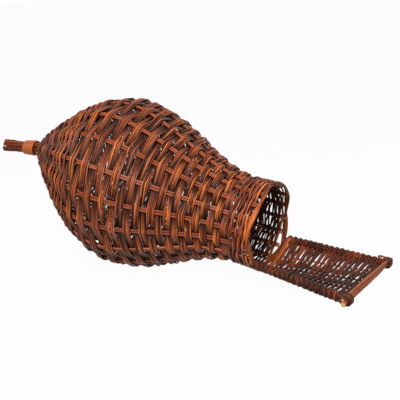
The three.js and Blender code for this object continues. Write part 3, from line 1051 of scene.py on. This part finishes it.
def inner_rods(deck):
    """Pairs of rods that run on from the bottom of the neck to the end bar."""
    platform = deck.settings
    rng = np.random.default_rng(52)
    x = deck.start + np.linspace(-INNER_ROOT, platform.length - ROD_END_GAP, 50)
    rods = []
    for i in range(1, deck.last):
        for side in (-1, 1):
            aside = side * platform.inner_radius * PAIR_ASIDE + wander(rng, 50, PAIR_WANDER)
            points = deck.rod(i, x) + np.stack([0 * x, aside, wander(rng, 50, PAIR_WANDER)], -1)
            rods.append(Rod(points, platform.inner_radius * PAIR_RADIUS, rng.uniform(0, 1), 0.8))
    return rods


WEAVE_FROM = 0.0016
WEAVE_END_GAP = 0.003
WEAVER_STRAY = 0.0008
WEAVER_SIDE_CLEAR = 0.002


def platform_weavers(deck):
    """Single rods that cross over one rod and under the next, and turn back round the side rods."""
    platform = deck.settings
    rng = np.random.default_rng(60)
    first = deck.start + WEAVE_FROM
    pitch = (platform.length - platform.bar_radius - WEAVE_END_GAP) / platform.passes
    stops, ends = [], []
    for k in range(platform.passes):
        heading = 1 if k % 2 == 0 else -1
        for step in range(platform.rods):
            i = step if heading == 1 else deck.last - step
            above = (i + k) % 2 == 0
            clear = platform.inner_radius + platform.weaver_radius * 0.2
            if i in (0, deck.last):
                clear = WEAVER_SIDE_CLEAR
            at = first + pitch * (k + 0.5) + rng.normal(0, WEAVER_STRAY)
            stops.append(deck.beside(i, at, math.pi / 2 if above else -math.pi / 2, 0, clear))
        ends.append(len(stops))
        if k < platform.passes - 1:
            i = deck.last if heading == 1 else 0
            clear = platform.side_radius + platform.weaver_radius
            for part in (0.25, 0.5, 0.75):
                lift = heading * math.pi / 2 * (1 - 2 * part)
                turn = lift if heading == 1 else math.pi - lift
                stops.append(deck.beside(i, first + pitch * (k + 0.5 + part), turn, 0, clear))
    rods = []
    for k in range(0, platform.passes, platform.passes_per_weaver):
        begin = 0 if k == 0 else ends[k - 1] - 1
        finish = ends[min(k + platform.passes_per_weaver, platform.passes) - 1] + 2
        points = smooth_line(np.array(stops[begin:finish]), 5)
        taper = platform.weaver_radius * np.linspace(1.14, 0.88, len(points))
        # Painted shade: weavers darker over the near half of the platform, full colour towards its far side.
        painted_shading = 0.35 + 0.65 * np.clip((platform.end_half_width * 0.2 + points[:, 1]) / 0.05, 0, 1)
        rods.append(Rod(points, taper, rng.uniform(0, 0.9), painted_shading))
    return rods


def smooth_line(stops, per_stop):
    """Catmull-Rom line through the stops."""
    padded = np.concatenate([[2 * stops[0] - stops[1]], stops, [2 * stops[-1] - stops[-2]]])
    t = np.linspace(0, 1, per_stop, endpoint=False)[:, None]
    parts = []
    for a, b, c, d in zip(padded, padded[1:], padded[2:], padded[3:]):
        bend, twist = 2 * a - 5 * b + 4 * c - d, 3 * b - a - 3 * c + d
        parts.append(0.5 * (2 * b + (c - a) * t + bend * t**2 + twist * t**3))
    return np.concatenate(parts + [stops[-1:]])


STICK_RADIUS = 0.0042
STICK_BOW = 0.0012
STICK_WANDER = 0.0004
BAR_FAR_EXTRA = 0.006
BAR_STRAND_REACH = 0.0056
# Radius and tone of each thinner rod on the bar.
BAR_STRANDS = ((0.0030, 0.7), (0.0022, 0.25))


def end_bar_rods(deck):
    """The stick across the free end, with two thinner rods twisted along it between the side rods."""
    platform = deck.settings
    rng = np.random.default_rng(71)
    x = deck.start + platform.length
    near, far = deck.rod(0, x), deck.rod(deck.last, x)
    across = (far - near) / np.linalg.norm(far - near)
    begin = near - across * platform.bar_overhang
    end = far + across * (platform.bar_overhang + BAR_FAR_EXTRA)
    share = np.linspace(0, 1, 40)
    points = begin + (end - begin) * share[:, None]
    points[:, 0] += STICK_BOW * np.sin(math.pi * share) + wander(rng, 40, STICK_WANDER, high=4)
    rods = [Rod(points, STICK_RADIUS * (1 + wander(rng, 40, 0.04)), 0.5, 1)]
    for strand, (radius, tone) in enumerate(BAR_STRANDS):
        twist = 2.2 * strand + 2.4 - 1.1 * share
        points = near + (far - near) * (-0.06 + 1.13 * share[:, None])
        points = points + BAR_STRAND_REACH * np.stack([np.cos(twist), 0 * share, np.sin(twist)], -1)
        rods.append(Rod(points, radius, tone, 0.95))
    return rods


ROOT_ROD_RADIUS = 0.0022
ROOT_ROD_TONES = (0.3, 0.6)
ROOT_ROD_FROM = 0.0025
ROOT_ROD_PITCH = 0.0042
ROOT_ROD_LIFT = 0.0045
ROOT_ROD_SIDE_LIFT = 0.006


def root_rods(deck):
    """Two rods laid across the root of the platform, from one side rod to the other."""
    rng = np.random.default_rng(67)
    rods = []
    for row, tone in enumerate(ROOT_ROD_TONES):
        stops = []
        for i in range(deck.settings.rods):
            lift = ROOT_ROD_SIDE_LIFT if i in (0, deck.last) else ROOT_ROD_LIFT
            at = deck.start + ROOT_ROD_FROM + ROOT_ROD_PITCH * row + rng.normal(0, 0.0005)
            stops.append(deck.beside(i, at, math.pi / 2, 0, lift))
        rods.append(Rod(smooth_line(np.array(stops), 8), ROOT_ROD_RADIUS, tone, 0.85))
    return rods


LASHING_TURNS = 4
LASHING_RADIUS = 0.0022
LASHING_CLEAR = 0.0024
LASHING_FROM = -0.0045
LASHING_PITCH = 0.0042
LASHING_SLANT = 0.0022
TUCK_RADIUS = 0.0019


def lashing_rods(deck):
    """Turns of rod round each corner that tie the end bar to the side rods, with the end tucked over."""
    platform = deck.settings
    rng = np.random.default_rng(73)
    x = deck.start + platform.length
    rods = []
    for i in (0, deck.last):
        corner = deck.rod(i, x)
        out = -1 if i == 0 else 1
        for strand in range(LASHING_TURNS):
            turn = np.linspace(0, TURN * 1.2, 40) + rng.uniform(0, TURN)
            aside = out * (LASHING_FROM + LASHING_PITCH * strand) + LASHING_SLANT * turn / TURN
            reach = platform.bar_radius + LASHING_CLEAR
            points = corner + np.stack([reach * np.cos(turn) - 0.001, aside, reach * np.sin(turn)], -1)
            rods.append(Rod(points, LASHING_RADIUS * rng.uniform(0.9, 1.12), rng.uniform(0, 1), 0.85))
        turn = np.linspace(0.2 * math.pi, 1.5 * math.pi, 30)
        points = corner + np.stack([
            -0.006 + 0.011 * np.cos(turn),
            out * (0.004 + 0.007 * np.sin(turn)),
            0.0078 - 0.002 * np.cos(turn),
        ], -1)
        rods.append(Rod(points, TUCK_RADIUS, rng.uniform(0.3, 1), 0.9))
    return rods


# ---------------------------------------------------------------- operators


def numbered(stem, numbers):
    return [f"{stem}_{n + 1:02d}" for n in numbers]


class NEST_OT_stakes(bpy.types.Operator):
    """Build the paired stakes"""

    bl_idname = "nest.stakes"
    bl_label = "Stakes"
    bl_options = {"REGISTER", "UNDO"}

    def execute(self, context):
        scene, finish = context.scene, finishes()
        rods = stake_rods(Body(scene.nest_body), scene.nest_stakes)
        replaced = numbered("stake_pair", range(scene.nest_stakes.pairs))
        build_rods("stake_pairs", rods, finish["stake_bark"], replaced)
        return {"FINISHED"}


class NEST_OT_slewed_rounds(bpy.types.Operator):
    """Build the slewed rounds of the body"""

    bl_idname = "nest.slewed_rounds"
    bl_label = "Slewed Rounds"
    bl_options = {"REGISTER", "UNDO"}
    ROUNDS_PER_PIECE = 6

    def execute(self, context):
        scene, finish = context.scene, finishes()
        body, weave = Body(scene.nest_body), scene.nest_weave
        for first in range(0, weave.rounds, self.ROUNDS_PER_PIECE):
            numbers = range(first, min(first + self.ROUNDS_PER_PIECE, weave.rounds))
            rods = slewed_rods(body, scene.nest_stakes, weave, numbers)
            name = f"slewed_rounds_{first + 1:02d}_to_{numbers[-1] + 1:02d}"
            build_rods(name, rods, finish["weave_bark"], numbered("weave_round", numbers))
        return {"FINISHED"}


class NEST_OT_close_weave(bpy.types.Operator):
    """Build the fine rounds at the tail"""

    bl_idname = "nest.close_weave"
    bl_label = "Close Weave"
    bl_options = {"REGISTER", "UNDO"}

    def execute(self, context):
        scene, finish = context.scene, finishes()
        rods = fine_rods(Body(scene.nest_body), scene.nest_stakes, scene.nest_weave)
        build_rods("close_weave_rods", rods, finish["weave_bark"],
                   ["tail_close_weave", "tail_collar"])
        return {"FINISHED"}


class NEST_OT_mouth_border(bpy.types.Operator):
    """Build the rolled border of the mouth"""

    bl_idname = "nest.mouth_border"
    bl_label = "Mouth Border"
    bl_options = {"REGISTER", "UNDO"}

    def execute(self, context):
        scene, finish = context.scene, finishes()
        rods = border_rods(Body(scene.nest_body))
        build_rods("mouth_border_rods", rods, finish["border_bark"], ["mouth_border"])
        return {"FINISHED"}


class NEST_OT_tail(bpy.types.Operator):
    """Build the bundle of rod ends and its binding"""

    bl_idname = "nest.tail"
    bl_label = "Tail"
    bl_options = {"REGISTER", "UNDO"}

    def execute(self, context):
        scene, finish = context.scene, finishes()
        body, tail = Body(scene.nest_body), scene.nest_tail
        build_rods("tail_rod_ends", tail_rods(body, tail), finish["tail_bark"],
                   ["tail_bundle"], sides=12, knobbliness=0.1)
        placing = Placing(scene.nest_body, scene.nest_platform)
        strip = binding_mesh("tail_binding_strip", body, tail, placing)
        strip.materials.append(finish["binding_bark"])
        finished_piece("tail_binding_strip", strip, ["tail_binding"])
        return {"FINISHED"}


class NEST_OT_platform(bpy.types.Operator):
    """Build the landing platform"""

    bl_idname = "nest.platform"
    bl_label = "Landing Platform"
    bl_options = {"REGISTER", "UNDO"}

    def execute(self, context):
        scene, finish = context.scene, finishes()
        deck = Platform(scene.nest_body, scene.nest_platform)
        inner = [f"platform_inner_rod_{i}" for i in range(1, deck.last)]
        build_rods("platform_side_rods", side_rods(deck), finish["stake_bark"],
                   ["platform_side_rod_near", "platform_side_rod_far"], sides=12)
        build_rods("platform_inner_rods", inner_rods(deck), finish["stake_bark"], inner)
        build_rods("platform_side_wraps", side_wraps(deck), finish["deck_bark"])
        build_rods("platform_weave_rods", platform_weavers(deck), finish["deck_bark"],
                   ["platform_weaver"])
        build_rods("platform_root_rods", root_rods(deck), finish["border_bark"])
        build_rods("platform_end_rods", end_bar_rods(deck), finish["bar_bark"],
                   ["platform_end_bar"], sides=12, knobbliness=0.03)
        build_rods("platform_lashings", lashing_rods(deck), finish["deck_bark"], sides=10)
        return {"FINISHED"}


class NEST_OT_stage(bpy.types.Operator):
    """Set the camera, the pale floor and the studio lamps"""

    bl_idname = "nest.stage"
    bl_label = "Stage"
    bl_options = {"REGISTER", "UNDO"}

    def execute(self, context):
        scene = context.scene
        place_camera(scene, scene.nest_stage)
        lay_floor(scene)
        light_scene(scene, Vector(scene.nest_stage.target))
        scene.view_settings.view_transform = "Standard"
        return {"FINISHED"}


def place_camera(scene, stage):
    camera = bpy.data.objects.new("camera", bpy.data.cameras.new("camera"))
    scene.collection.objects.link(camera)
    camera.data.lens = stage.lens
    back = Vector((
        math.sin(stage.azimuth) * math.cos(stage.elevation),
        -math.cos(stage.azimuth) * math.cos(stage.elevation),
        math.sin(stage.elevation),
    ))
    level = (-back).to_track_quat("-Z", "Y").to_matrix().to_4x4()
    place = Matrix.Translation(Vector(stage.target) + back * stage.distance)
    camera.matrix_world = place @ level @ Matrix.Rotation(stage.roll, 4, "Z")
    scene.camera = camera


def rays_shown_white(nodes, links, share):
    """The share of plain white that the eye, reflections and glass see. Other rays see none of it."""
    path = nodes.new("ShaderNodeLightPath")
    shown = path.outputs["Is Camera Ray"]
    for kind in ("Is Glossy Ray", "Is Transmission Ray"):
        shown = maths(nodes, links, "MAXIMUM", shown, path.outputs[kind])
    return maths(nodes, links, "MULTIPLY", shown, share)


FLOOR_HALF = 30
FLOOR_GREY = 0.42
FLOOR_WHITE = 0.96


def lay_floor(scene):
    """A pale floor that keeps a soft shadow and fades into the white behind it."""
    mesh = bpy.data.meshes.new("floor")
    corners = [(x * FLOOR_HALF, y * FLOOR_HALF, 0) for x, y in ((-1, -1), (1, -1), (1, 1), (-1, 1))]
    mesh.from_pydata(corners, [], [(0, 1, 2, 3)])
    floor = bpy.data.objects.new("floor", mesh)
    scene.collection.objects.link(floor)
    material, nodes, links, shader = shader_nodes("floor_white")
    shader.inputs["Base Color"].default_value = (FLOOR_GREY, FLOOR_GREY, FLOOR_GREY, 1)
    shader.inputs["Roughness"].default_value = 0.9
    glow = nodes.new("ShaderNodeEmission")
    blend = nodes.new("ShaderNodeMixShader")
    links.new(rays_shown_white(nodes, links, FLOOR_WHITE), blend.inputs[0])
    links.new(shader.outputs[0], blend.inputs[1])
    links.new(glow.outputs[0], blend.inputs[2])
    links.new(blend.outputs[0], nodes["Material Output"].inputs["Surface"])
    mesh.materials.append(material)


# Name, place, size and power of each lamp.
LAMPS = (
    ("key", (0.75, -2.1, 2.1), 0.5, 112),
    ("fill", (0.6, -2.6, 0.7), 1.8, 8),
    ("top", (0.3, 0.6, 2.6), 1.6, 16),
)
SURROUND_COLOUR = (1, 0.95, 0.90, 1)
SURROUND_STRENGTH = 0.22


def light_scene(scene, target):
    """Soft lamps, and a surround that lights the basket faintly and is seen as white."""
    for name, place, size, power in LAMPS:
        data = bpy.data.lights.new(name, "AREA")
        data.size = size
        data.energy = power
        lamp = bpy.data.objects.new(name, data)
        scene.collection.objects.link(lamp)
        lamp.location = place
        lamp.rotation_euler = (target - lamp.location).to_track_quat("-Z", "Y").to_euler()
    world = bpy.data.worlds.new("surround")
    scene.world = world
    world.use_nodes = True
    nodes, links = world.node_tree.nodes, world.node_tree.links
    light, seen = nodes["Background"], nodes.new("ShaderNodeBackground")
    light.inputs["Color"].default_value = SURROUND_COLOUR
    light.inputs["Strength"].default_value = SURROUND_STRENGTH
    seen.inputs["Color"].default_value = (1, 1, 1, 1)
    blend = nodes.new("ShaderNodeMixShader")
    links.new(rays_shown_white(nodes, links, 1), blend.inputs[0])
    links.new(light.outputs[0], blend.inputs[1])
    links.new(seen.outputs[0], blend.inputs[2])
    links.new(blend.outputs[0], nodes["World Output"].inputs["Surface"])


class NEST_PT_panel(bpy.types.Panel):
    """Lists the basket's sizes and the buttons that build it"""

    bl_label = "Nesting Basket"
    bl_idname = "NEST_PT_panel"
    bl_space_type = "VIEW_3D"
    bl_region_type = "UI"
    bl_category = "Nesting Basket"

    def draw(self, context):
        for key, settings in SETTINGS.items():
            box = self.layout.box()
            box.label(text=settings.__doc__)
            for name in settings.__annotations__:
                box.prop(getattr(context.scene, key), name)
        for operator in OPERATORS:
            self.layout.operator(operator.bl_idname)


OPERATORS = (
    NEST_OT_stage,
    NEST_OT_stakes,
    NEST_OT_slewed_rounds,
    NEST_OT_close_weave,
    NEST_OT_mouth_border,
    NEST_OT_tail,
    NEST_OT_platform,
)
CLASSES = (*SETTINGS.values(), *OPERATORS, NEST_PT_panel)


def register():
    for cls in CLASSES:
        bpy.utils.register_class(cls)
    for key, settings in SETTINGS.items():
        setattr(bpy.types.Scene, key, bpy.props.PointerProperty(type=settings))


def unregister():
    for key in SETTINGS:
        delattr(bpy.types.Scene, key)
    for cls in reversed(CLASSES):
        bpy.utils.unregister_class(cls)


def main():
    register()
    bpy.ops.nest.stage()
    bpy.ops.nest.stakes()
    bpy.ops.nest.slewed_rounds()
    bpy.ops.nest.close_weave()
    bpy.ops.nest.mouth_border()
    bpy.ops.nest.tail()
    bpy.ops.nest.platform()


if __name__ == "__main__":
    main()
